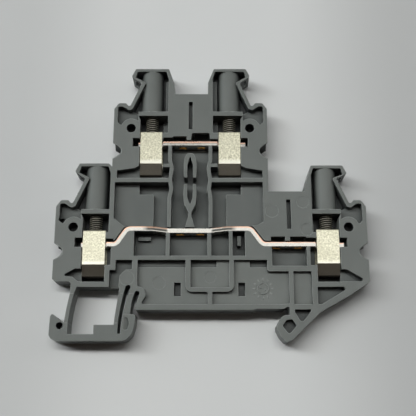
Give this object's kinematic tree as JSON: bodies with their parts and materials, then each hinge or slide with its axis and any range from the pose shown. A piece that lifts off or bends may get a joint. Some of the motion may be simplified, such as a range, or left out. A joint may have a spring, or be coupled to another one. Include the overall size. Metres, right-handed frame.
{
  "type": "din rail terminal block",
  "caption": "Two-level screw-clamp terminal block for a 35 mm rail, open on one side, with bent current bars, clamp cages, guide towers and a sprung foot.",
  "frame": {"origin": "middle of the rail seat: on the rail's centre line and at the middle of the block's width", "axes": "+Z away from the rail, +X along the block towards the fixed hook, +Y along the rail towards the closed side; the open side faces -Y"},
  "size_m": [0.0698, 0.0052, 0.0643],
  "materials": {
    "housing_plastic": "moulded grey polyamide, fine-grained and slightly glossy",
    "cage_steel": "bright zinc plating with a faint warm tint",
    "screw_steel": "bright zinc plating",
    "tinned_copper": "matt tin plating over copper, bare copper along the punched edges"
  },
  "bodies": {
    "housing": {"housing": "housing_plastic", "current_bar_upper": "tinned_copper", "current_bar_lower": "tinned_copper", "foot_leg_outer": "housing_plastic", "foot_leg_middle": "housing_plastic", "foot_leg_hook": "housing_plastic"},
    "rail_foot": {"rail_foot": "housing_plastic"},
    "screw_upper_left": {"clamp_screw_upper_left": "screw_steel"},
    "cage_upper_left": {"clamp_cage_upper_left": "cage_steel"},
    "screw_upper_right": {"clamp_screw_upper_right": "screw_steel"},
    "cage_upper_right": {"clamp_cage_upper_right": "cage_steel"},
    "screw_lower_left": {"clamp_screw_lower_left": "screw_steel"},
    "cage_lower_left": {"clamp_cage_lower_left": "cage_steel"},
    "screw_lower_right": {"clamp_screw_lower_right": "screw_steel"},
    "cage_lower_right": {"clamp_cage_lower_right": "cage_steel"}
  },
  "joints": [
    {"name": "foot_release", "type": "slide", "parent": "housing", "child": "rail_foot", "axis": [-1, 0, 0], "range_m": [0, 0.0016], "stiffness_N_per_m": 15000, "deforming": ["foot_leg_outer", "foot_leg_middle", "foot_leg_hook"]},
    {"name": "turn_upper_left", "type": "hinge", "parent": "housing", "child": "screw_upper_left", "pos_m": [-0.01361, 0, 0.04648], "axis": [0, 0, -1], "range_deg": [-361, 2341]},
    {"name": "lift_upper_left", "type": "slide", "parent": "housing", "child": "cage_upper_left", "axis": [0, 0, 1], "range_m": [-0.0005, 0.00325]},
    {"name": "turn_upper_right", "type": "hinge", "parent": "housing", "child": "screw_upper_right", "pos_m": [0.00451, 0, 0.04648], "axis": [0, 0, -1], "range_deg": [-361, 2341]},
    {"name": "lift_upper_right", "type": "slide", "parent": "housing", "child": "cage_upper_right", "axis": [0, 0, 1], "range_m": [-0.0005, 0.00325]},
    {"name": "turn_lower_left", "type": "hinge", "parent": "housing", "child": "screw_lower_left", "pos_m": [-0.0259, 0, 0.02275], "axis": [0, 0, -1], "range_deg": [-361, 2341]},
    {"name": "lift_lower_left", "type": "slide", "parent": "housing", "child": "cage_lower_left", "axis": [0, 0, 1], "range_m": [-0.0005, 0.00325]},
    {"name": "turn_lower_right", "type": "hinge", "parent": "housing", "child": "screw_lower_right", "pos_m": [0.0263, 0, 0.02275], "axis": [0, 0, -1], "range_deg": [-361, 2341]},
    {"name": "lift_lower_right", "type": "slide", "parent": "housing", "child": "cage_lower_right", "axis": [0, 0, 1], "range_m": [-0.0005, 0.00325]}
  ],
  "couplings": [
    {"joint": "turn_upper_left", "follows": "lift_upper_left", "rad_per_m": 12566},
    {"joint": "turn_upper_right", "follows": "lift_upper_right", "rad_per_m": 12566},
    {"joint": "turn_lower_left", "follows": "lift_lower_left", "rad_per_m": 12566},
    {"joint": "turn_lower_right", "follows": "lift_lower_right", "rad_per_m": 12566}
  ]
}
